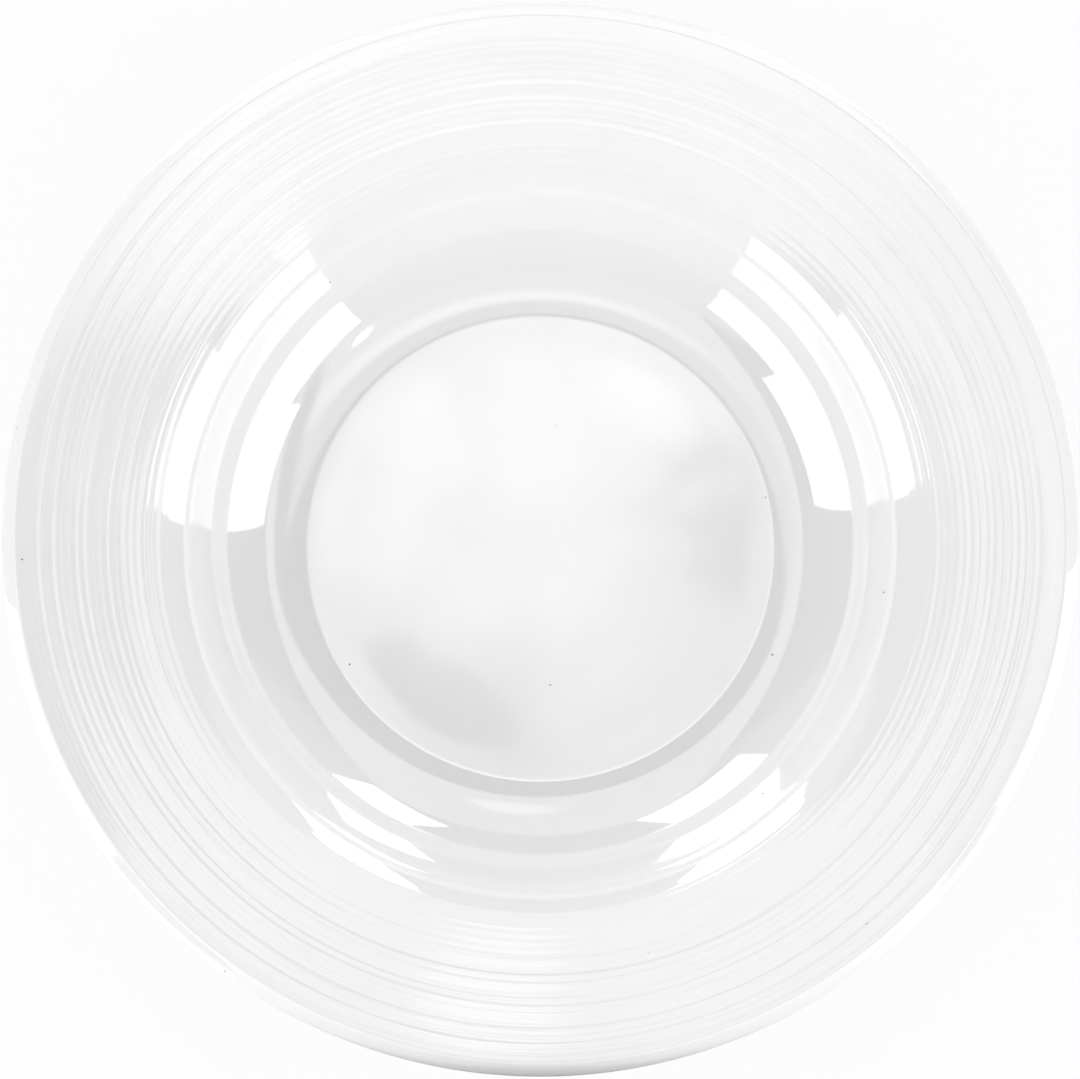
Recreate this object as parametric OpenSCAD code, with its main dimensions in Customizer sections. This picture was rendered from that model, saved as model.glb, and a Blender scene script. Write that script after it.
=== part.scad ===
// White china bowl with a wide ridged rim, a steep-walled well and a foot ring.
// The origin is the centre of the foot ring, on the surface that the bowl stands on. +Z is up.

/* [Overall] */
// Diameter over the lip
bowl_d = 240; // [210:1:300]
// Height from the foot ring to the top of the lip
bowl_h = 40; // [37:0.5:60]

/* [Well] */
// Diameter of the flat floor inside the bowl
floor_d = 104; // [84:1:112]
// Diameter at which the wall of the well is steepest
wall_d = 156; // [150:1:164]
// Angle of that wall, from level
wall_angle = 62; // [54:1:75]
// Width of the shoulder, from the steepest place of the wall to the start of the straight rim
shoulder_w = 17; // [13:0.5:21]
// Rise of the shoulder over that width
shoulder_h = 9.5; // [8:0.1:11]

/* [Rim] */
// Angle of the straight rim, from level
rim_angle = 14; // [8:0.5:20]
// Radius of the lip's round edge
lip_r = 1.9; // [1.4:0.1:2.6]
// Distance from the lip's outer edge to the crest of the outermost ridge
ridge_start_w = 7.7; // [5:0.1:20]
// Least distance from the steepest place of the wall to the crest of the innermost ridge
ridge_end_w = 4.2; // [2:0.1:12]
// Distance from one ridge's crest to the next
ridge_pitch = 1.7; // [1.2:0.05:3]
// Height of the boldest ridges above the grooves between them
ridge_h = 0.09; // [0.05:0.01:0.4]

/* [Walls] */
// Thickness of the clay under the floor
floor_t = 4.6; // [3.6:0.1:7]

/* [Foot ring] */
// Outer diameter of the foot ring at the table, taken as if its edge were sharp
foot_d = 112; // [104:1:120]
// Width of the flat bearing edge
foot_land_w = 2.4; // [1.5:0.1:4]
// Depth of the recess inside the foot ring
foot_h = 3.4; // [2.6:0.1:6]
// Lean of the foot ring's sides, from upright
foot_lean = 12; // [4:1:20]
// Radius of the rounding on both sides of the bearing edge
foot_edge_r = 0.8; // [0.4:0.1:1.1]
// Radius of the hollow between the foot ring and the wall outside it
foot_fillet_r = 1.8; // [1:0.1:2.4]
// Radius of the hollow between the foot ring and the recess inside it
recess_fillet_r = 1.4; // [0.8:0.1:2]

/* [Glaze] */
// Thickness of the glaze
glaze_t = 0.3; // [0.15:0.05:0.5]
// Height of the bare clay left round the foot ring's bearing edge
bare_h = 1; // [0.9:0.1:1.4]

/* [Hidden] */
$fn = 180;

// Angle between the points of a rounded edge, and how many parts the smooth curves are divided into
arc_step_angle = 10;
well_steps = 20;
shoulder_steps = 14;
facets_per_ridge = 6;

// Heights of the ridges from the outermost inwards, as shares of ridge_h: bold ones stand among faint ones
ridge_height_shares = [
    1, 0.4, 0.95, 0.25, 0.4, 0.9, 0.9, 0.2, 0.6,
    1, 0.25, 0.95, 0.2, 0.3, 0.85, 0.75, 0.2, 0.5
];

// Share of a ridge's height that the glaze levels out by pooling in the grooves beside it
glaze_pool_share = 0.3;

// Angle on the lip's round edge at which the rim's upper face meets it, in a fine crease
crease_angle = 120;

// Lip: the centre of its round edge, and the radius of the clay under the glaze
lip_centre = [bowl_d / 2 - lip_r, bowl_h - lip_r];
clay_lip_r = lip_r - glaze_t;

// The rim is as thick as makes its underside run smoothly into the lip's round edge
lip_t = clay_lip_r * (1 + sin(crease_angle - rim_angle));

// Upper face of the clay, from the crease beside the lip inwards
crease = lip_centre + clay_lip_r * [cos(crease_angle), sin(crease_angle)];
shoulder_r = wall_d / 2 + shoulder_w;
shoulder = [shoulder_r, crease[1] - (crease[0] - shoulder_r) * tan(rim_angle)];
wall = [wall_d / 2, shoulder[1] - shoulder_h];
floor_edge = [floor_d / 2, foot_h + floor_t];

// Middle control points of the two curved stretches: where the tangents at their ends cross
well_turn = [wall[0] - (wall[1] - floor_edge[1]) / tan(wall_angle), floor_edge[1]];
shoulder_turn_r = (shoulder_h - shoulder[0] * tan(rim_angle) + wall[0] * tan(wall_angle))
    / (tan(wall_angle) - tan(rim_angle));
shoulder_turn = [shoulder_turn_r, wall[1] + (shoulder_turn_r - wall[0]) * tan(wall_angle)];

// Ridges
ridge_outer_r = bowl_d / 2 - ridge_start_w;
ridge_count = floor((ridge_outer_r - wall[0] - ridge_end_w) / ridge_pitch) + 1;
ridge_step = ridge_pitch / facets_per_ridge;

// Foot ring: the centres of its two rounded edges lie foot_land_w apart
foot_r = foot_d / 2;
foot_edge_in = foot_edge_r * (1 / cos(foot_lean) - tan(foot_lean));
foot_outer_centre = [foot_r - foot_edge_in, foot_edge_r];
foot_inner_centre = [foot_outer_centre[0] - foot_land_w, foot_edge_r];
foot_inner_r = foot_inner_centre[0] - foot_edge_in;

// Share of the way along a quadratic curve at which it reaches the radius r
function share_at(r, points) =
    let (first = points[1][0] - points[0][0], bend = points[2][0] - 2 * points[1][0] + points[0][0])
    (r - points[0][0]) / (first + sqrt(first * first + bend * (r - points[0][0])));

// Height and slope of a quadratic curve at the radius r
function on_curve(r, points) =
    let (
        share = share_at(r, points),
        before = points[0] * (1 - share) + points[1] * share,
        after = points[1] * (1 - share) + points[2] * share,
        way = after - before
    )
    [before[1] * (1 - share) + after[1] * share, atan2(way[1], way[0])];

// Height and slope of the clay's upper face at the radius r, with the ridges left out
function face(r) =
    r <= floor_edge[0] ? [floor_edge[1], 0]
    : r <= wall[0] ? on_curve(r, [floor_edge, well_turn, wall])
    : r <= shoulder[0] ? on_curve(r, [wall, shoulder_turn, shoulder])
    : [crease[1] - (crease[0] - r) * tan(rim_angle), rim_angle];

// Point at a distance above that face, square to it, or below it where the distance is negative
function raised(r, lift) =
    let (here = face(r))
    [r - lift * sin(here[1]), here[0] + lift * cos(here[1])];

// Height of the ridges at the radius r: each is a smooth wave one pitch wide
function ridge_rise(r) =
    let (number = round((ridge_outer_r - r) / ridge_pitch))
    number < 0 || number >= ridge_count ? 0
    : let (from_crest = r - ridge_outer_r + number * ridge_pitch)
    ridge_h * ridge_height_shares[number % len(ridge_height_shares)]
    * (1 + cos(360 * from_crest / ridge_pitch)) / 2;

// Thickness of the clay, which grows evenly from the lip to the floor
function clay_t(r) =
    r <= floor_edge[0] ? floor_t
    : lip_t + (floor_t - lip_t) * (crease[0] - r) / (crease[0] - floor_edge[0]);

// Points of an arc, at whole steps from its first angle, and at its last
function arc(centre, radius, from_angle, to_angle) =
    let (step = from_angle > to_angle ? -arc_step_angle : arc_step_angle)
    [
        for (angle = concat([for (a = [from_angle:step:to_angle - step / 2]) a], [to_angle]))
            centre + radius * [cos(angle), sin(angle)]
    ];

function reversed(points) = [for (i = [len(points) - 1:-1:0]) points[i]];

// Radii at which the upper face and the underside are worked out
well_radii = [for (i = [0:well_steps]) floor_edge[0] + (wall[0] - floor_edge[0]) * i / well_steps];
shoulder_radii = [for (i = [1:shoulder_steps]) wall[0] + (shoulder[0] - wall[0]) * i / shoulder_steps];
first_step = ceil((wall[0] - ridge_outer_r) / ridge_step + 0.5);
last_step = floor((crease[0] - ridge_outer_r) / ridge_step - 1);
ridge_radii = [for (i = [first_step:last_step]) ridge_outer_r + i * ridge_step];

// Centre of the fillet outside the foot ring, where it leaves the underside below the radius r
function foot_fillet_centre(r) = raised(r, -clay_t(r) - foot_fillet_r);

// Radius r for which that fillet runs smoothly down into the foot ring's side, found by closing in on it
function foot_join(r, rounds) =
    rounds <= 0 ? r
    : let (
        centre = foot_fillet_centre(r),
        side_foot = centre[0] - foot_fillet_r / cos(foot_lean) - centre[1] * tan(foot_lean)
    )
    foot_join(r + foot_r - side_foot, rounds - 1);
join_rounds = 12;
foot_join_r = foot_join(foot_r, join_rounds);

// Outside of the clay, or of a coat on it, from the middle of the floor over the lip to the foot ring's side
function outside(coat) =
    concat(
        [[0, floor_edge[1] + coat]],
        [for (r = well_radii) raised(r, coat)],
        [for (r = ridge_radii) raised(r, coat + ridge_rise(r) * (1 - glaze_pool_share * coat / glaze_t))],
        arc(lip_centre, clay_lip_r + coat, crease_angle, rim_angle - 90),
        [
            for (r = reversed(concat(well_radii, shoulder_radii, [crease[0]])))
                if (r > foot_join_r + ridge_step) raised(r, -clay_t(r) - coat)
        ],
        arc(
            foot_fillet_centre(foot_join_r), foot_fillet_r - coat,
            90 + face(foot_join_r)[1], 180 - foot_lean
        ),
        [[foot_r + bare_h * tan(foot_lean), bare_h] + coat * [cos(foot_lean), -sin(foot_lean)]]
    );

// Underside of the floor inside the foot ring, from the middle out to the ring's inner side
function recess(coat) =
    let (
        centre_z = foot_h - recess_fillet_r,
        centre_r = foot_inner_r - centre_z * tan(foot_lean) - recess_fillet_r / cos(foot_lean)
    )
    concat(
        [[0, foot_h - coat]],
        arc([centre_r, centre_z], recess_fillet_r - coat, 90, foot_lean),
        [[foot_inner_r - bare_h * tan(foot_lean), bare_h] - coat * [cos(foot_lean), sin(foot_lean)]]
    );

// Fired clay: bare only round the bearing edge of the foot ring
module china_body() {
    color([0.93, 0.91, 0.87])
        rotate_extrude()
            polygon(concat(
                outside(0),
                arc(foot_outer_centre, foot_edge_r, -foot_lean, -90),
                arc(foot_inner_centre, foot_edge_r, -90, foot_lean - 180),
                reversed(recess(0))
            ));
}

// Glaze over the inside, the ridges, the lip and the outside
module glaze_coat() {
    color([0.97, 0.97, 0.96])
        rotate_extrude()
            polygon(concat(outside(glaze_t), reversed(outside(0))));
}

// Glaze in the recess inside the foot ring
module base_glaze() {
    color([0.97, 0.97, 0.96])
        rotate_extrude()
            polygon(concat(recess(glaze_t), reversed(recess(0))));
}

china_body();
glaze_coat();
base_glaze();
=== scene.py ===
import math

import bpy
from mathutils import Matrix, Vector


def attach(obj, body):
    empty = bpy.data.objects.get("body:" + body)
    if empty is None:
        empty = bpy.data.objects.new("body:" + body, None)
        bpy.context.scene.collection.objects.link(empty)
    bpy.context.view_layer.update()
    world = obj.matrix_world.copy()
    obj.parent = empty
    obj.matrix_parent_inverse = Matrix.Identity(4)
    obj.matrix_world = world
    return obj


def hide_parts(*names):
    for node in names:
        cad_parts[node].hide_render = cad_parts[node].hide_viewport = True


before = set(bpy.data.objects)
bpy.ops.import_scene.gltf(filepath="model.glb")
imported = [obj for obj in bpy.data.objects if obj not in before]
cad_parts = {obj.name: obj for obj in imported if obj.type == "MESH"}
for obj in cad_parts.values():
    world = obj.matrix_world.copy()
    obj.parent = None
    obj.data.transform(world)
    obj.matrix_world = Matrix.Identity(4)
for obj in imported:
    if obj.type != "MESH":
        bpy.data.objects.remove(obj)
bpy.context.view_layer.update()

MM = 0.001

# Sizes of the bowl, in mm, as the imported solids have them
BOWL_D = 240
BOWL_H = 40
FLOOR_D = 104
WALL_D = 156
WALL_ANGLE = 62
SHOULDER_W = 17
RIM_ANGLE = 14
LIP_R = 1.9
RIDGE_START_W = 7.7
RIDGE_END_W = 4.2
RIDGE_PITCH = 1.7
RIDGE_H = 0.09
FLOOR_T = 4.6
FOOT_D = 112
FOOT_LAND_W = 2.4
FOOT_H = 3.4
FOOT_LEAN = 12
FOOT_EDGE_R = 0.8
FOOT_FILLET_R = 1.8
RECESS_FILLET_R = 1.4
GLAZE_T = 0.3
BARE_H = 1
RIDGE_HEIGHT_SHARES = (
    1, 0.4, 0.95, 0.25, 0.4, 0.9, 0.9, 0.2, 0.6,
    1, 0.25, 0.95, 0.2, 0.3, 0.85, 0.75, 0.2, 0.5,
)
GLAZE_POOL_SHARE = 0.3
CREASE_ANGLE = 120

# The finer shape of the upper face: the shoulder breaks at a radius, and a flatter band lies beside the lip
BREAK_R = 84.6
BREAK_RISE = 5.8
BREAK_LOWER_ANGLE = 27
BREAK_UPPER_ANGLE = 20.5
BAND_W = 3.9
BAND_ANGLE = 12.3

# The lip falls away from a fine edge, at first by this slope, and turns down to its outermost point
LIP_EDGE_R = 117
LIP_SLOPE = 20

# Broad swells under the ridges: the radii between them, where the rim is steeper by the swell's slope
SWELL_BORDERS = (94.5, 100.5, 106.5, 111.8)
SWELL_SLOPE = 0.8

# How finely the pieces are turned and their outlines are divided
TURN_STEPS = 240
FLOOR_RINGS = 6
WELL_STEPS = 34
SHOULDER_STEPS = 10
POINTS_PER_RIDGE = 9
LIP_STEPS = 10
UNDER_RIM_STEPS = 5
UNDER_WELL_STEPS = 14
ARC_STEP = 8
COARSE_ARC_STEP = 30
COARSE_STEPS = 10
JOIN_ROUNDS = 12
JOIN_CLEARANCE = 0.4
WELD_DISTANCE = 0.004
SMOOTH_ANGLE = 40


def sin_deg(angle):
    return math.sin(math.radians(angle))


def cos_deg(angle):
    return math.cos(math.radians(angle))


def tan_deg(angle):
    return math.tan(math.radians(angle))


LIP_CENTRE = (BOWL_D / 2 - LIP_R, BOWL_H - LIP_R)
CLAY_LIP_R = LIP_R - GLAZE_T
LIP_T = CLAY_LIP_R * (1 + sin_deg(CREASE_ANGLE - RIM_ANGLE))
CREASE = (
    LIP_CENTRE[0] + CLAY_LIP_R * cos_deg(CREASE_ANGLE),
    LIP_CENTRE[1] + CLAY_LIP_R * sin_deg(CREASE_ANGLE),
)


def turn_between(start, start_slope, end, end_slope):
    """Where the tangents at the ends of a curve cross."""
    steeper = tan_deg(start_slope)
    flatter = tan_deg(end_slope)
    r = (end[1] - start[1] - end[0] * flatter + start[0] * steeper) / (steeper - flatter)
    return (r, start[1] + (r - start[0]) * steeper)


BAND = (CREASE[0] - BAND_W, CREASE[1] - BAND_W * tan_deg(BAND_ANGLE))
SHOULDER_R = WALL_D / 2 + SHOULDER_W
SHOULDER = (SHOULDER_R, BAND[1] - (BAND[0] - SHOULDER_R) * tan_deg(RIM_ANGLE))
BREAK_SLOPE = (tan_deg(BREAK_UPPER_ANGLE) + tan_deg(RIM_ANGLE)) / 2
BREAK = (BREAK_R, SHOULDER[1] - (SHOULDER_R - BREAK_R) * BREAK_SLOPE)
WALL = (WALL_D / 2, BREAK[1] - BREAK_RISE)
FLOOR_EDGE = (FLOOR_D / 2, FOOT_H + FLOOR_T)
FLOOR_TURN = turn_between(FLOOR_EDGE, 0, WALL, WALL_ANGLE)
WALL_TURN = turn_between(WALL, WALL_ANGLE, BREAK, BREAK_LOWER_ANGLE)
BREAK_TURN = turn_between(BREAK, BREAK_UPPER_ANGLE, SHOULDER, RIM_ANGLE)
RIDGE_OUTER_R = BOWL_D / 2 - RIDGE_START_W
RIDGE_COUNT = math.floor((RIDGE_OUTER_R - WALL[0] - RIDGE_END_W) / RIDGE_PITCH) + 1
RIDGE_INNER_R = RIDGE_OUTER_R - (RIDGE_COUNT - 0.5) * RIDGE_PITCH
FOOT_R = FOOT_D / 2
FOOT_EDGE_IN = FOOT_EDGE_R * (1 / cos_deg(FOOT_LEAN) - tan_deg(FOOT_LEAN))
FOOT_OUTER_CENTRE = (FOOT_R - FOOT_EDGE_IN, FOOT_EDGE_R)
FOOT_INNER_CENTRE = (FOOT_OUTER_CENTRE[0] - FOOT_LAND_W, FOOT_EDGE_R)
FOOT_INNER_R = FOOT_INNER_CENTRE[0] - FOOT_EDGE_IN


def on_curve(r, start, turn, end):
    """Height and slope at the radius r of the curve that leaves start and reaches end towards turn."""
    first = turn[0] - start[0]
    bend = end[0] - 2 * turn[0] + start[0]
    share = (r - start[0]) / (first + math.sqrt(first * first + bend * (r - start[0])))
    before = [a + (b - a) * share for a, b in zip(start, turn)]
    after = [a + (b - a) * share for a, b in zip(turn, end)]
    slope = math.degrees(math.atan2(after[1] - before[1], after[0] - before[0]))
    return before[1] + (after[1] - before[1]) * share, slope


def face(r):
    """Height and slope of the clay's upper face at the radius r, with the ridges left out."""
    if r <= FLOOR_EDGE[0]:
        return FLOOR_EDGE[1], 0
    if r <= WALL[0]:
        return on_curve(r, FLOOR_EDGE, FLOOR_TURN, WALL)
    if r <= BREAK[0]:
        return on_curve(r, WALL, WALL_TURN, BREAK)
    if r <= SHOULDER[0]:
        return on_curve(r, BREAK, BREAK_TURN, SHOULDER)
    if r <= BAND[0]:
        return BAND[1] - (BAND[0] - r) * tan_deg(RIM_ANGLE), RIM_ANGLE
    return CREASE[1] - (CREASE[0] - r) * tan_deg(BAND_ANGLE), BAND_ANGLE


def raised(r, lift):
    height, slope = face(r)
    return (r - lift * sin_deg(slope), height + lift * cos_deg(slope))


def ridge_share(r):
    """Height of the ridge at the radius r, from 0 in a groove to 1 on the crest of a bold ridge."""
    number = round((RIDGE_OUTER_R - r) / RIDGE_PITCH)
    if number < 0 or number >= RIDGE_COUNT:
        return 0
    from_crest = r - RIDGE_OUTER_R + number * RIDGE_PITCH
    height = RIDGE_HEIGHT_SHARES[number % len(RIDGE_HEIGHT_SHARES)]
    return height * (1 + cos_deg(360 * from_crest / RIDGE_PITCH)) / 2


def swell(r):
    for inner, outer in zip(SWELL_BORDERS, SWELL_BORDERS[1:]):
        if inner < r < outer:
            turn = 360 * (r - inner) / (outer - inner)
            return tan_deg(SWELL_SLOPE) * (outer - inner) / (2 * math.pi) * sin_deg(turn)
    return 0


def ridge_lift(r, coat):
    return coat + swell(r) + RIDGE_H * ridge_share(r) * (1 - GLAZE_POOL_SHARE * coat / GLAZE_T)


def clay_t(r):
    if r <= FLOOR_EDGE[0]:
        return FLOOR_T
    return LIP_T + (FLOOR_T - LIP_T) * (CREASE[0] - r) / (CREASE[0] - FLOOR_EDGE[0])


def arc(centre, radius, start_angle, end_angle, step):
    count = max(1, math.ceil(abs(end_angle - start_angle) / step))
    angles = [start_angle + (end_angle - start_angle) * i / count for i in range(count + 1)]
    return [(centre[0] + radius * cos_deg(a), centre[1] + radius * sin_deg(a)) for a in angles]


def spread(start, end, count):
    return [start + (end - start) * i / count for i in range(count + 1)]


def lip(coat, arc_step):
    """Outline of the lip, from the fine edge over its outermost point to the underside of the rim."""
    start = raised(LIP_EDGE_R, coat)
    end = (LIP_CENTRE[0] + CLAY_LIP_R + coat, LIP_CENTRE[1])
    turn = (end[0], start[1] - (end[0] - start[0]) * tan_deg(LIP_SLOPE))
    upper = [
        tuple((1 - s) ** 2 * a + 2 * s * (1 - s) * b + s * s * c for a, b, c in zip(start, turn, end))
        for s in spread(0, 1, LIP_STEPS)
    ]
    return upper + arc(LIP_CENTRE, CLAY_LIP_R + coat, 0, RIM_ANGLE - 90, arc_step)[1:]


def foot_fillet_centre(r):
    return raised(r, -clay_t(r) - FOOT_FILLET_R)


def foot_join():
    """Radius under which the fillet outside the foot ring leaves the underside."""
    r = FOOT_R
    for _ in range(JOIN_ROUNDS):
        centre = foot_fillet_centre(r)
        side_foot = centre[0] - FOOT_FILLET_R / cos_deg(FOOT_LEAN) - centre[1] * tan_deg(FOOT_LEAN)
        r += FOOT_R - side_foot
    return r


FOOT_JOIN_R = foot_join()


def outside(coat, fine):
    """Outline of a coat on the clay, from the middle of the floor over the lip to the foot ring's side."""
    arc_step = ARC_STEP if fine else COARSE_ARC_STEP
    if fine:
        ridge_points = round((LIP_EDGE_R - RIDGE_INNER_R) / RIDGE_PITCH * POINTS_PER_RIDGE)
        upper = (
            [FLOOR_EDGE[0] * i / FLOOR_RINGS for i in range(1, FLOOR_RINGS)]
            + spread(FLOOR_EDGE[0], WALL[0], WELL_STEPS)
            + spread(WALL[0], RIDGE_INNER_R, SHOULDER_STEPS)[1:-1]
            + [RIDGE_INNER_R + RIDGE_PITCH * i / POINTS_PER_RIDGE for i in range(ridge_points)]
        )
    else:
        upper = (
            spread(FLOOR_EDGE[0], WALL[0], COARSE_STEPS)
            + spread(WALL[0], SHOULDER[0], COARSE_STEPS)[1:]
        )
    under = [
        r
        for r in spread(CREASE[0], SHOULDER[0], UNDER_RIM_STEPS)
        + spread(SHOULDER[0], WALL[0], COARSE_STEPS)[1:]
        + spread(WALL[0], FLOOR_EDGE[0], UNDER_WELL_STEPS)[1:]
        if r > FOOT_JOIN_R + JOIN_CLEARANCE
    ]
    join_slope = face(FOOT_JOIN_R)[1]
    side = (FOOT_R + BARE_H * tan_deg(FOOT_LEAN), BARE_H)
    return (
        [(0, FLOOR_EDGE[1] + coat)]
        + [raised(r, ridge_lift(r, coat)) for r in upper]
        + lip(coat, arc_step)
        + [raised(r, -clay_t(r) - coat) for r in under]
        + arc(
            foot_fillet_centre(FOOT_JOIN_R), FOOT_FILLET_R - coat,
            90 + join_slope, 180 - FOOT_LEAN, arc_step * 2
        )
        + [(side[0] + coat * cos_deg(FOOT_LEAN), side[1] - coat * sin_deg(FOOT_LEAN))]
    )


def recess(coat):
    """Outline of a coat in the recess inside the foot ring, from the middle out to the ring's side."""
    centre_z = FOOT_H - RECESS_FILLET_R
    centre_r = FOOT_INNER_R - centre_z * tan_deg(FOOT_LEAN) - RECESS_FILLET_R / cos_deg(FOOT_LEAN)
    side = (FOOT_INNER_R - BARE_H * tan_deg(FOOT_LEAN), BARE_H)
    return (
        [(0, FOOT_H - coat)]
        + [(centre_r * i / FLOOR_RINGS, FOOT_H - coat) for i in range(1, FLOOR_RINGS)]
        + arc((centre_r, centre_z), RECESS_FILLET_R - coat, 90, FOOT_LEAN, ARC_STEP)
        + [(side[0] - coat * cos_deg(FOOT_LEAN), side[1] - coat * sin_deg(FOOT_LEAN))]
    )


def turned(name, outline):
    """Draws a closed outline point by point from one vertex and spins it about the upright axis."""
    bpy.ops.object.select_all(action="DESELECT")
    bpy.ops.mesh.primitive_plane_add(size=MM, location=(0, 0, 0))
    piece = bpy.context.object
    piece.name = name
    points = [Vector((r * MM, 0, z * MM)) for r, z in outline]
    bpy.ops.object.mode_set(mode="EDIT")
    bpy.ops.mesh.select_all(action="SELECT")
    bpy.ops.mesh.merge(type="CENTER")
    bpy.ops.transform.translate(value=points[0])
    for before, after in zip(points, points[1:] + points[:1]):
        bpy.ops.mesh.extrude_region_move(TRANSFORM_OT_translate={"value": after - before})
    bpy.ops.mesh.select_all(action="SELECT")
    bpy.ops.mesh.spin(steps=TURN_STEPS, angle=2 * math.pi, center=(0, 0, 0), axis=(0, 0, 1))
    bpy.ops.mesh.select_all(action="SELECT")
    bpy.ops.mesh.remove_doubles(threshold=WELD_DISTANCE * MM)
    bpy.ops.mesh.select_all(action="SELECT")
    bpy.ops.mesh.normals_make_consistent(inside=False)
    bpy.ops.object.mode_set(mode="OBJECT")
    return piece


glaze_outline = outside(GLAZE_T, True) + outside(0, False)[::-1]
glaze = turned("glaze_over_bowl", glaze_outline)
base = turned("glaze_in_foot_recess", recess(GLAZE_T) + recess(0)[::-1])
clay_outline = (
    outside(0, False)
    + arc(FOOT_OUTER_CENTRE, FOOT_EDGE_R, -FOOT_LEAN, -90, ARC_STEP)
    + arc(FOOT_INNER_CENTRE, FOOT_EDGE_R, -90, FOOT_LEAN - 180, ARC_STEP)
    + recess(0)[::-1]
)
clay = turned("china_clay_body", clay_outline)

for piece in (glaze, base, clay):
    bpy.ops.object.select_all(action="DESELECT")
    piece.select_set(True)
    bpy.context.view_layer.objects.active = piece
    bpy.ops.object.shade_smooth_by_angle(angle=math.radians(SMOOTH_ANGLE))


def shader_group(name, inputs, outputs):
    """A node group with named sockets; gives it back with its input and output nodes."""
    group = bpy.data.node_groups.new(name, "ShaderNodeTree")
    for label, kind, value in inputs:
        socket = group.interface.new_socket(label, in_out="INPUT", socket_type=kind)
        socket.default_value = value
    for label, kind in outputs:
        group.interface.new_socket(label, in_out="OUTPUT", socket_type=kind)
    return group, group.nodes.new("NodeGroupInput"), group.nodes.new("NodeGroupOutput")


def wire(tree, source, target):
    """Links an output to an input, or sets the input where the source is a plain value."""
    if isinstance(source, bpy.types.NodeSocket):
        tree.links.new(source, target)
    else:
        target.default_value = source


def math_node(tree, operation, *values):
    node = tree.nodes.new("ShaderNodeMath")
    node.operation = operation
    for value, socket in zip(values, node.inputs):
        wire(tree, value, socket)
    return node.outputs[0]


def ramp_between(tree, value, low, high, low_result=0.0, high_result=1.0):
    """Smooth step of a value from one result to another."""
    node = tree.nodes.new("ShaderNodeMapRange")
    node.interpolation_type = "SMOOTHSTEP"
    for label, part in (
        ("Value", value), ("From Min", low), ("From Max", high),
        ("To Min", low_result), ("To Max", high_result),
    ):
        wire(tree, part, node.inputs[label])
    return node.outputs["Result"]


def noise(tree, vector, scale, detail=2.0, roughness=0.5):
    node = tree.nodes.new("ShaderNodeTexNoise")
    node.inputs["Scale"].default_value = scale
    node.inputs["Detail"].default_value = detail
    node.inputs["Roughness"].default_value = roughness
    wire(tree, vector, node.inputs["Vector"])
    return node.outputs["Fac"]


def squared_radius(tree, place):
    """Square of the distance from the upright axis, and the two coordinates that it comes from."""
    parts = tree.nodes.new("ShaderNodeSeparateXYZ")
    wire(tree, place, parts.inputs[0])
    x = parts.outputs["X"]
    y = parts.outputs["Y"]
    return math_node(tree, "MULTIPLY_ADD", x, x, math_node(tree, "MULTIPLY", y, y)), x, y


# Places of a mix node's colour sockets, which share their names with its other sockets
FIRST_COLOUR = 6
SECOND_COLOUR = 7
MIXED_COLOUR = 2


def mixed(tree, factor, first, second):
    node = tree.nodes.new("ShaderNodeMix")
    node.data_type = "RGBA"
    wire(tree, factor, node.inputs["Factor"])
    wire(tree, first, node.inputs[FIRST_COLOUR])
    wire(tree, second, node.inputs[SECOND_COLOUR])
    return node.outputs[MIXED_COLOUR]


def iron_specks_group():
    """Sparse dark pinpoint specks, as iron in the clay leaves under a white glaze."""
    group, start, end = shader_group(
        "iron_specks",
        (("Spacing", "NodeSocketFloat", 0.02), ("Radius", "NodeSocketFloat", 0.0003),
         ("Share", "NodeSocketFloat", 0.2)),
        (("Mask", "NodeSocketFloat"),),
    )
    place = group.nodes.new("ShaderNodeTexCoord").outputs["Object"]
    scale = math_node(group, "DIVIDE", 1.0, start.outputs["Spacing"])
    cells = group.nodes.new("ShaderNodeTexVoronoi")
    cells.voronoi_dimensions = "2D"
    wire(group, place, cells.inputs["Vector"])
    wire(group, scale, cells.inputs["Scale"])
    draw = group.nodes.new("ShaderNodeSeparateColor")
    wire(group, cells.outputs["Color"], draw.inputs["Color"])
    chosen = math_node(group, "LESS_THAN", draw.outputs["Red"], start.outputs["Share"])
    least_size = 0.5
    size_range = 0.7
    size = math_node(group, "MULTIPLY_ADD", draw.outputs["Green"], size_range, least_size)
    radius = math_node(
        group, "MULTIPLY", math_node(group, "MULTIPLY", start.outputs["Radius"], size), scale
    )
    dark_share = 0.5
    dark_radius = math_node(group, "MULTIPLY", radius, dark_share)
    near = ramp_between(group, cells.outputs["Distance"], dark_radius, radius, 1.0, 0.0)
    wire(group, math_node(group, "MULTIPLY", near, chosen), end.inputs["Mask"])
    return group


def fired_tone_group():
    """Slow drift of a fired colour, between 0 and 1, at two sizes of blot."""
    group, start, end = shader_group(
        "fired_tone",
        (("Blot", "NodeSocketFloat", 0.04), ("Fine Blot", "NodeSocketFloat", 0.006)),
        (("Tone", "NodeSocketFloat"),),
    )
    place = group.nodes.new("ShaderNodeTexCoord").outputs["Object"]
    tones = []
    for label in ("Blot", "Fine Blot"):
        node = group.nodes.new("ShaderNodeTexNoise")
        node.inputs["Detail"].default_value = 3
        wire(group, place, node.inputs["Vector"])
        wire(group, math_node(group, "DIVIDE", 1.0, start.outputs[label]), node.inputs["Scale"])
        tones.append(ramp_between(group, node.outputs["Fac"], 0.3, 0.7))
    fine_share = 0.3
    coarse = math_node(group, "MULTIPLY", tones[0], 1 - fine_share)
    blend = math_node(group, "MULTIPLY_ADD", tones[1], fine_share, coarse)
    wire(group, blend, end.inputs["Tone"])
    return group


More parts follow.
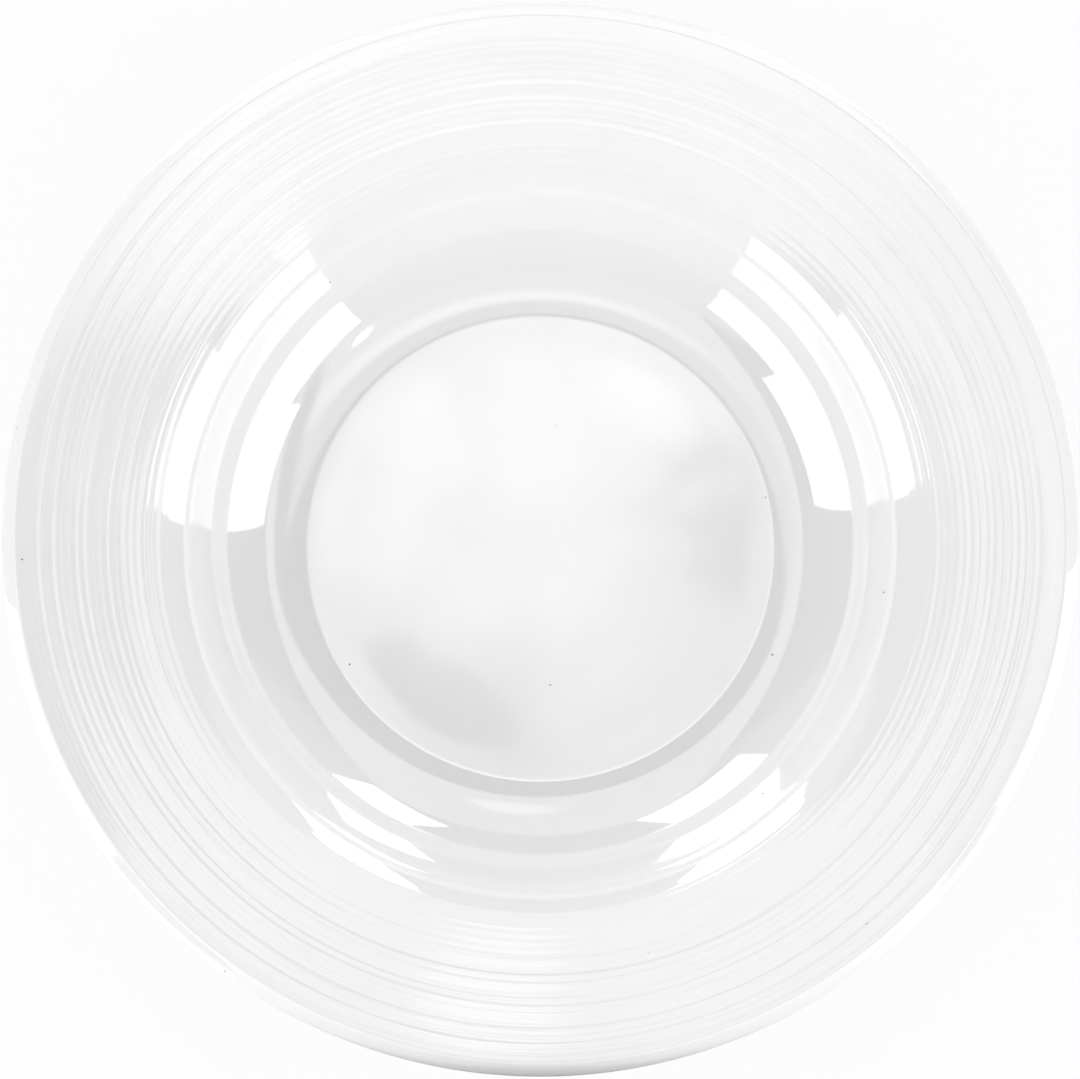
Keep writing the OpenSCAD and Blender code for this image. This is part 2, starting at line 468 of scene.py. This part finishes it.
def throwing_lines_group():
    """Fine rings about the upright axis, between two radii, that come and go along their way."""
    group, start, end = shader_group(
        "throwing_lines",
        (("Spacing", "NodeSocketFloat", 0.001), ("Inner Radius", "NodeSocketFloat", 0.08),
         ("Outer Radius", "NodeSocketFloat", 0.11), ("Change Along", "NodeSocketFloat", 1.5)),
        (("Height", "NodeSocketFloat"),),
    )
    place = group.nodes.new("ShaderNodeTexCoord").outputs["Object"]
    squares, x, y = squared_radius(group, place)
    least_square = MM * MM
    radius = math_node(group, "SQRT", math_node(group, "MAXIMUM", squares, least_square))
    drift = math_node(group, "DIVIDE", start.outputs["Change Along"], radius)
    spot = group.nodes.new("ShaderNodeCombineXYZ")
    wire(group, math_node(group, "DIVIDE", radius, start.outputs["Spacing"]), spot.inputs["X"])
    wire(group, math_node(group, "MULTIPLY", x, drift), spot.inputs["Y"])
    wire(group, math_node(group, "MULTIPLY", y, drift), spot.inputs["Z"])
    fade = 3 * MM
    inner = start.outputs["Inner Radius"]
    outer = start.outputs["Outer Radius"]
    past_inner = ramp_between(group, radius, inner, math_node(group, "ADD", inner, fade))
    short_of_outer = ramp_between(
        group, radius, math_node(group, "SUBTRACT", outer, fade), outer, 1.0, 0.0
    )
    mask = math_node(group, "MULTIPLY", past_inner, short_of_outer)
    rings = noise(group, spot.outputs[0], scale=1, detail=2)
    wire(group, math_node(group, "MULTIPLY", rings, mask), end.inputs["Height"])
    return group


iron_specks = iron_specks_group()
fired_tone = fired_tone_group()
throwing_lines = throwing_lines_group()


def placed(tree, group, **values):
    node = tree.nodes.new("ShaderNodeGroup")
    node.node_tree = group
    for label, value in values.items():
        node.inputs[label.replace("_", " ")].default_value = value
    return node.outputs[0]


# Colours of the glaze and of the bare clay
GLAZE_TONES = ((0.865, 0.868, 0.864, 1), (0.89, 0.89, 0.883, 1))
GLAZE_SPECK_COLOUR = (0.16, 0.14, 0.12, 1)
CLAY_TONES = ((0.74, 0.70, 0.64, 1), (0.84, 0.81, 0.76, 1))
CLAY_GRAIN_COLOUR = (0.60, 0.57, 0.53, 1)
CLAY_SPECK_COLOUR = (0.25, 0.21, 0.17, 1)

# Relief of the glaze and the clay, in mm: slow unevenness of the fired form, fine rings of the rim from this
# radius outwards, orange peel, sunken specks and the grain of the clay
FORM_UNEVENNESS = 0.12
LINES_HEIGHT = 0.26
LINES_INNER_R = 83.6
ORANGE_PEEL_HEIGHT = 0.003
SPECK_DEPTH = 0.02
CLAY_GRAIN_DEPTH = 0.06

# Roughness of the clean glaze, and what haze and rub marks each add to it, with the noise values where they
# set in and the turn and stretch of the rub marks
GLAZE_ROUGHNESS = 0.045
WEAR_ROUGHNESS = 0.03
HAZE_RANGE = (0.42, 0.68)
RUB_RANGE = (0.6, 0.72)
RUB_TURN = 0.7
RUB_STRETCH = 9

# Painted glow of the lip: emission that stands in for light coming through the thin lip, and how far inside
# and outside its edge that sets in
PAINTED_LIP_GLOW = 0.07
GLOW_START = -0.3
GLOW_END = 0.5


def china_glaze_material():
    """Clear white gloss glaze: faint drift of tone, rare specks, use marks, slight orange peel, painted lip
    glow.
    """
    material = bpy.data.materials.new("china_glaze")
    material.use_nodes = True
    tree = material.node_tree
    shader = tree.nodes["Principled BSDF"]
    shader.inputs["IOR"].default_value = 1.6
    shader.inputs["Coat Weight"].default_value = 1
    shader.inputs["Coat Roughness"].default_value = 0.02
    shader.inputs["Coat IOR"].default_value = 2
    place = tree.nodes.new("ShaderNodeTexCoord").outputs["Object"]
    tone = placed(tree, fired_tone, Blot=0.05, Fine_Blot=0.008)
    specks = placed(tree, iron_specks, Spacing=0.024, Radius=0.00025, Share=0.22)
    colour = mixed(tree, tone, *GLAZE_TONES)
    wire(tree, mixed(tree, specks, colour, GLAZE_SPECK_COLOUR), shader.inputs["Base Color"])
    haze = ramp_between(tree, noise(tree, place, scale=34, detail=4), *HAZE_RANGE)
    stretched = tree.nodes.new("ShaderNodeMapping")
    stretched.inputs["Rotation"].default_value = (0, 0, RUB_TURN)
    stretched.inputs["Scale"].default_value = (1, RUB_STRETCH, 1)
    wire(tree, place, stretched.inputs["Vector"])
    streaks = noise(tree, stretched.outputs[0], scale=90, detail=3, roughness=0.6)
    rubs = ramp_between(tree, streaks, *RUB_RANGE)
    worn = math_node(
        tree, "MULTIPLY_ADD", rubs, WEAR_ROUGHNESS, math_node(tree, "MULTIPLY", haze, WEAR_ROUGHNESS)
    )
    wire(tree, math_node(tree, "ADD", worn, GLAZE_ROUGHNESS), shader.inputs["Roughness"])
    squares = squared_radius(tree, place)[0]
    # Painted glow: the glaze emits a little light towards the lip's edge, standing in for light through the
    # thin lip
    glow_squares = [((LIP_EDGE_R + way) * MM) ** 2 for way in (GLOW_START, GLOW_END)]
    painted_glow_mask = ramp_between(tree, squares, *glow_squares)
    wire(tree, math_node(tree, "MULTIPLY", painted_glow_mask, PAINTED_LIP_GLOW), shader.inputs["Emission Strength"])
    lines = placed(
        tree, throwing_lines, Spacing=0.0011, Inner_Radius=LINES_INNER_R * MM,
        Outer_Radius=CREASE[0] * MM, Change_Along=0.9,
    )
    unevenness = noise(tree, place, scale=26, detail=1)
    orange_peel = noise(tree, place, scale=420, detail=1)
    height = math_node(tree, "MULTIPLY", lines, LINES_HEIGHT)
    height = math_node(tree, "MULTIPLY_ADD", unevenness, FORM_UNEVENNESS, height)
    height = math_node(tree, "MULTIPLY_ADD", orange_peel, ORANGE_PEEL_HEIGHT, height)
    height = math_node(tree, "MULTIPLY_ADD", specks, -SPECK_DEPTH, height)
    relief = tree.nodes.new("ShaderNodeBump")
    relief.inputs["Distance"].default_value = MM
    wire(tree, height, relief.inputs["Height"])
    wire(tree, relief.outputs["Normal"], shader.inputs["Normal"])
    return material


def china_clay_material():
    """Bare fired clay of the bearing edge: matte, warm, fine-grained and a little grey where it is worn."""
    material = bpy.data.materials.new("china_clay")
    material.use_nodes = True
    tree = material.node_tree
    shader = tree.nodes["Principled BSDF"]
    shader.inputs["Specular IOR Level"].default_value = 0.3
    place = tree.nodes.new("ShaderNodeTexCoord").outputs["Object"]
    tone = placed(tree, fired_tone, Blot=0.012, Fine_Blot=0.002)
    specks = placed(tree, iron_specks, Spacing=0.006, Radius=0.0003, Share=0.3)
    grain = noise(tree, place, scale=2600, detail=3, roughness=0.7)
    grain_share = 0.35
    colour = mixed(tree, tone, *CLAY_TONES)
    colour = mixed(tree, math_node(tree, "MULTIPLY", grain, grain_share), colour, CLAY_GRAIN_COLOUR)
    wire(tree, mixed(tree, specks, colour, CLAY_SPECK_COLOUR), shader.inputs["Base Color"])
    wire(tree, ramp_between(tree, grain, 0.3, 0.7, 0.7, 0.9), shader.inputs["Roughness"])
    bump = tree.nodes.new("ShaderNodeBump")
    bump.inputs["Strength"].default_value = 0.6
    bump.inputs["Distance"].default_value = CLAY_GRAIN_DEPTH * MM
    wire(tree, grain, bump.inputs["Height"])
    wire(tree, bump.outputs["Normal"], shader.inputs["Normal"])
    return material


glaze_material = china_glaze_material()
for piece, material, node, slot in (
    (glaze, glaze_material, "glaze_coat", "china_glaze"),
    (base, glaze_material, "base_glaze", "china_glaze"),
    (clay, china_clay_material(), "china_body", "china_clay"),
):
    piece.data.materials.append(material)
    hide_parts(node)
    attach(piece, "root")


# Side of the studio's floor in metres, its tones under the bowl and as the camera sees it, and the share of
# plain white in what the camera sees
FLOOR_SIZE = 12
FLOOR_TONES = ((0.8, 0.8, 0.8, 1), (0.9, 0.9, 0.9, 1))
FLOOR_WHITE_SHARE = 0.88


def floor_material():
    """White studio paper that shows the bowl's shadow faintly."""
    material = bpy.data.materials.new("studio_paper")
    material.use_nodes = True
    tree = material.node_tree
    shader = tree.nodes["Principled BSDF"]
    path = tree.nodes.new("ShaderNodeLightPath")
    seen = path.outputs["Is Camera Ray"]
    wire(tree, mixed(tree, seen, *FLOOR_TONES), shader.inputs["Base Color"])
    shader.inputs["Roughness"].default_value = 0.9
    shader.inputs["Specular IOR Level"].default_value = 0
    glow = tree.nodes.new("ShaderNodeEmission")
    mix = tree.nodes.new("ShaderNodeMixShader")
    wire(tree, math_node(tree, "MULTIPLY", seen, FLOOR_WHITE_SHARE), mix.inputs["Fac"])
    wire(tree, shader.outputs[0], mix.inputs[1])
    wire(tree, glow.outputs[0], mix.inputs[2])
    wire(tree, mix.outputs[0], tree.nodes["Material Output"].inputs["Surface"])
    return material


bpy.ops.object.select_all(action="DESELECT")
bpy.ops.mesh.primitive_plane_add(size=FLOOR_SIZE, location=(0, 0, 0))
floor = bpy.context.object
floor.name = "floor"
floor.data.materials.append(floor_material())

# Camera: almost straight above, leaning a little towards the near side
FRAME_PIXELS = 1080
AIM_PIXELS = -0.2
MM_PER_PIXEL = 0.2227
CAMERA_DISTANCE = 2.6
CAMERA_TILT = 4.5
CAMERA_SENSOR = 36
bpy.ops.object.camera_add()
camera = bpy.context.object
camera.name = "camera"
to_camera = Vector((0, -sin_deg(CAMERA_TILT), cos_deg(CAMERA_TILT)))
lip_centre_height = (BOWL_H - LIP_R) * MM
keystone = (BOWL_D / 2 * MM) ** 2 * sin_deg(CAMERA_TILT) / CAMERA_DISTANCE
aim = Vector((AIM_PIXELS * MM_PER_PIXEL * MM, -keystone, lip_centre_height))
camera.location = aim + to_camera * CAMERA_DISTANCE
camera.rotation_euler = (-to_camera).to_track_quat("-Z", "Y").to_euler()
camera.data.sensor_width = CAMERA_SENSOR
camera.data.lens = CAMERA_SENSOR * CAMERA_DISTANCE / (FRAME_PIXELS * MM_PER_PIXEL * MM)
camera.data.clip_start = 0.05
camera.data.clip_end = 50
bpy.context.scene.camera = camera

# Brightness of the studio's parts, where 1 is white paper in full light
NEAR_LAMPS = 1.9
FAR_LAMPS = 3.2
HIGH_FILLS = 0.08
CEILING = 0.86
NEAR_CEILING = 1.4
NEAR_WALL = 0.68
FAR_WALL = 0.46
SIDE_WALLS = 0.2
CAMERA_STAND = 0.01
CAMERA_SHADE = 0.6
CAMERA_ARM = 0.1
OPEN_DOOR = 1.4
LAMP_GLINT = 2.4

# Upright softboxes of the near side: the turns between which each stands, and the elevation of its top
LAMP_DISTANCE = 2
UPRIGHT_SOFTBOXES = (
    ("softbox_near_right", -2, 25, 50),
    ("softbox_near_right_low", 25, 48, 40),
    ("softbox_near_left", 148, 178, 50),
    ("softbox_near_left_low", 128, 148, 35),
)

# Leaning softboxes of the far side: the angle from straight up and the turn of the middle, the roll, and the
# width and height as angles
LEANING_SOFTBOXES = (
    ("softbox_far_left", (72, 238), 12, 20, 30),
    ("softbox_far_right", (75, 299), -20, 15, 27),
)

# Broad soft fills that the glaze doesn't mirror: the turn of their side and how bright the low ones are, then
# the angle of the low and the high ones from straight up, and their width and height as angles
FILL_SIDES = (("far", 270, 1.0), ("left", 180, 0.55), ("right", 0, 0.35), ("near", 90, 0.8))
LOW_FILL_ANGLE = 72
HIGH_FILL_ANGLE = 35
FILL_WIDTH = 50
FILL_HEIGHT = 34


def heading(zenith_angle, turn_angle):
    """Direction at an angle from straight up, and at a turn from +X clockwise as the camera sees it."""
    across = sin_deg(zenith_angle)
    return Vector((across * cos_deg(turn_angle), -across * sin_deg(turn_angle), cos_deg(zenith_angle)))


def panel_lamp(name, middle, facing, roll, width, height, radiance):
    """A rectangular lamp; roll leans it to its left."""
    bpy.ops.object.light_add(type="AREA", location=middle)
    lamp = bpy.context.object
    lamp.name = name
    turn = (-facing).to_track_quat("-Z", "Y").to_matrix() @ Matrix.Rotation(math.radians(roll), 3, "Z")
    lamp.rotation_euler = turn.to_euler()
    lamp.data.shape = "RECTANGLE"
    lamp.data.size = width
    lamp.data.size_y = height
    lamp.data.energy = radiance * math.pi * width * height
    lamp.visible_camera = False
    return lamp


def upright_lamp(name, first_turn, last_turn, top_angle, radiance):
    """An upright softbox on the floor between two turns, whose top is seen at the given elevation."""
    direction = heading(90, (first_turn + last_turn) / 2)
    width = 2 * LAMP_DISTANCE * tan_deg((last_turn - first_turn) / 2)
    height = LAMP_DISTANCE * tan_deg(top_angle)
    middle = direction * LAMP_DISTANCE + Vector((0, 0, height / 2))
    return panel_lamp(name, middle, direction, 0, width, height, radiance)


def leaning_lamp(name, middle, roll, width_angle, height_angle, radiance):
    """A softbox that faces the bowl from the direction of its middle."""
    direction = heading(*middle)
    width = 2 * LAMP_DISTANCE * tan_deg(width_angle / 2)
    height = 2 * LAMP_DISTANCE * tan_deg(height_angle / 2)
    return panel_lamp(name, direction * LAMP_DISTANCE, direction, roll, width, height, radiance)


for name, first_turn, last_turn, top_angle in UPRIGHT_SOFTBOXES:
    upright_lamp(name, first_turn, last_turn, top_angle, NEAR_LAMPS)
for name, middle, roll, width_angle, height_angle in LEANING_SOFTBOXES:
    leaning_lamp(name, middle, roll, width_angle, height_angle, FAR_LAMPS)
for side, turn_angle, low_fill in FILL_SIDES:
    levels = (("low", LOW_FILL_ANGLE, low_fill), ("high", HIGH_FILL_ANGLE, HIGH_FILLS))
    for level, fill_angle, radiance in levels:
        name = "fill_" + level + "_" + side
        fill = leaning_lamp(name, (fill_angle, turn_angle), 0, FILL_WIDTH, FILL_HEIGHT, radiance)
        fill.visible_glossy = False

# A grey card, unseen by the camera, that the near side of the lip mirrors. Sizes in mm
CARD_WIDTH = 160
CARD_HEIGHT = 8
CARD_TOP = 43
CARD_GAP = 1.5
card_middle = Vector((0, -BOWL_D / 2 - CARD_GAP, CARD_TOP - CARD_HEIGHT / 2)) * MM
bpy.ops.object.select_all(action="DESELECT")
bpy.ops.mesh.primitive_plane_add(size=1, location=card_middle, rotation=(math.pi / 2, 0, 0))
card = bpy.context.object
card.name = "dark_card"
card.scale = (CARD_WIDTH * MM, CARD_HEIGHT * MM, 1)
card.visible_camera = False
card_material = bpy.data.materials.new("dark_card")
card_material.use_nodes = True
card_shader = card_material.node_tree.nodes["Principled BSDF"]
card_shader.inputs["Base Color"].default_value = (0.3, 0.3, 0.3, 1)
card_shader.inputs["Roughness"].default_value = 0.8
card.data.materials.append(card_material)


# Edges of the ceiling and the walls, each with how far it fades to both sides. All places in the sky are in
# degrees from straight up, towards the right and towards the far side
CEILING_LEFT = (-27.2, 0.7)
CEILING_RIGHT = (40.0, 1.0)
CEILING_RIGHT_SLANT = 0.19
CEILING_LOW = (60.0, 1.0)
NEAR_HALF = (-3.0, 3.0)
NEAR_WALL_EDGE = (-35.0, 3.0)
FAR_WALL_EDGE = (35.0, 5.0)

# Soft ellipses laid over them in this order: middle, half lengths, turn, softness and brightness
SKY_SPOTS = (
    ((6, -13), (18, 6), 0, 0.6, NEAR_CEILING),
    ((2, 2), (21, 11), 0, 0.3, CAMERA_SHADE),
    ((31, -9), (21, 4.5), -62, 0.4, CAMERA_ARM),
    ((24.5, 4), (6, 10), 0, 0.35, CAMERA_ARM),
    ((5, 10.6), (20, 8.9), 0, 0.12, CAMERA_STAND),
    ((2.8, 31.5), (4.4, 5.5), 0, 0.35, OPEN_DOOR),
    ((27, -27.5), (4, 2), -60, 0.3, LAMP_GLINT),
)

# What hangs straight over the bowl and shows in its floor: a round field that gets brighter towards the far
# side and is clouded between two shares of that, and ragged patches in it, in the same form as above
OVERHEAD_MIDDLE = (0, 4.5)
OVERHEAD_SIZE = (1.4, 1.4)
OVERHEAD_SOFT = 0.12
OVERHEAD_RISE = 0.6
OVERHEAD_START = -1.45
CLOUD_RANGE = (0.25, 0.75)
CLOUD_SHARES = (0.75, 1.25)
RAGGED_SHIFT = (1.1, -0.9)
OVERHEAD_SPOTS = (
    ((-0.2, 4.45), (0.4, 0.25), 0, 0.5, 1.05),
    ((0.85, 4.3), (0.45, 0.6), 0, 0.4, 0.75),
    ((0.97, 4.5), (0.24, 0.36), 0, 0.25, 0.1),
    ((-0.58, 3.68), (0.5, 0.28), -30, 0.2, 0.0),
)


def studio_world():
    """A pale ceiling between darker walls, with the dark camera stand and a bright opening in it."""
    world = bpy.data.worlds.new("studio")
    world.use_nodes = True
    tree = world.node_tree
    parts = tree.nodes.new("ShaderNodeSeparateXYZ")
    wire(tree, tree.nodes.new("ShaderNodeTexCoord").outputs["Generated"], parts.inputs[0])
    almost_straight_up = 0.999999
    up = math_node(tree, "MINIMUM", parts.outputs["Z"], almost_straight_up)
    across = math_node(tree, "SQRT", math_node(tree, "SUBTRACT", 1.0, math_node(tree, "MULTIPLY", up, up)))
    tilt = math_node(tree, "MULTIPLY", math_node(tree, "ARCCOSINE", up), 180 / math.pi)
    spread_out = math_node(tree, "DIVIDE", tilt, across)
    right = math_node(tree, "MULTIPLY", parts.outputs["X"], spread_out)
    far = math_node(tree, "MULTIPLY", parts.outputs["Y"], spread_out)

    def past(value, edge, soft):
        return ramp_between(tree, value, edge - soft, edge + soft)

    def short_of(value, edge, soft):
        return ramp_between(tree, value, edge - soft, edge + soft, 1.0, 0.0)

    def both(*masks):
        result = masks[0]
        for mask in masks[1:]:
            result = math_node(tree, "MULTIPLY", result, mask)
        return result

    def either(first, second):
        return math_node(tree, "MAXIMUM", first, second)

    def ellipse(middle, size, turn, soft, at):
        """Soft ellipse; 1 in the middle, and 0.5 where its edge is."""
        aside = math_node(tree, "SUBTRACT", at[0], middle[0])
        ahead = math_node(tree, "SUBTRACT", at[1], middle[1])
        long = math_node(tree, "MULTIPLY_ADD", ahead, sin_deg(turn) / size[0],
                         math_node(tree, "MULTIPLY", aside, cos_deg(turn) / size[0]))
        short = math_node(tree, "MULTIPLY_ADD", ahead, cos_deg(turn) / size[1],
                          math_node(tree, "MULTIPLY", aside, -sin_deg(turn) / size[1]))
        away = math_node(tree, "SQRT", math_node(tree, "MULTIPLY_ADD", long, long,
                                                 math_node(tree, "MULTIPLY", short, short)))
        return short_of(away, 1.0, soft)

    def blend(mask, under, over):
        node = tree.nodes.new("ShaderNodeMix")
        wire(tree, mask, node.inputs["Factor"])
        wire(tree, under, node.inputs["A"])
        wire(tree, over, node.inputs["B"])
        return node.outputs["Result"]

    def with_spots(under, spots, at):
        for middle, size, turn, soft, brightness in spots:
            under = blend(ellipse(middle, size, turn, soft, at), under, brightness)
        return under

    slanted_right = math_node(tree, "MULTIPLY_ADD", far, CEILING_RIGHT_SLANT, right)
    ceiling = both(
        past(right, *CEILING_LEFT),
        short_of(slanted_right, *CEILING_RIGHT),
        either(short_of(tilt, *CEILING_LOW), short_of(far, *NEAR_HALF)),
    )
    walls = blend(past(far, *FAR_WALL_EDGE), SIDE_WALLS, FAR_WALL)
    light = blend(ceiling, walls, CEILING)
    light = blend(short_of(far, *NEAR_WALL_EDGE), light, NEAR_WALL)
    light = with_spots(light, SKY_SPOTS, (right, far))
    place = tree.nodes.new("ShaderNodeCombineXYZ")
    wire(tree, right, place.inputs["X"])
    wire(tree, far, place.inputs["Y"])
    mean_noise = 0.5
    ragged_noise = noise(tree, place.outputs[0], scale=4.2, detail=5, roughness=0.62)
    wander = math_node(tree, "SUBTRACT", ragged_noise, mean_noise)
    ragged = [
        math_node(tree, "MULTIPLY_ADD", wander, shift, value)
        for shift, value in zip(RAGGED_SHIFT, (right, far))
    ]
    cloud_noise = noise(tree, place.outputs[0], scale=2.2, detail=4)
    clouds = ramp_between(tree, cloud_noise, *CLOUD_RANGE, *CLOUD_SHARES)
    rising = math_node(tree, "MULTIPLY_ADD", far, OVERHEAD_RISE, OVERHEAD_START)
    overhead = math_node(tree, "MULTIPLY", rising, clouds)
    overhead = with_spots(overhead, OVERHEAD_SPOTS, ragged)
    field = ellipse(OVERHEAD_MIDDLE, OVERHEAD_SIZE, 0, OVERHEAD_SOFT, (right, far))
    light = blend(field, light, overhead)
    lit = tree.nodes["Background"]
    lit.inputs["Color"].default_value = (1, 1, 1, 1)
    wire(tree, light, lit.inputs["Strength"])
    white = tree.nodes.new("ShaderNodeBackground")
    white.inputs["Color"].default_value = (1, 1, 1, 1)
    path = tree.nodes.new("ShaderNodeLightPath")
    mix = tree.nodes.new("ShaderNodeMixShader")
    wire(tree, path.outputs["Is Camera Ray"], mix.inputs["Fac"])
    wire(tree, lit.outputs[0], mix.inputs[1])
    wire(tree, white.outputs[0], mix.inputs[2])
    wire(tree, mix.outputs[0], tree.nodes["World Output"].inputs["Surface"])
    return world


bpy.context.scene.world = studio_world()
bpy.context.scene.view_settings.view_transform = "Standard"
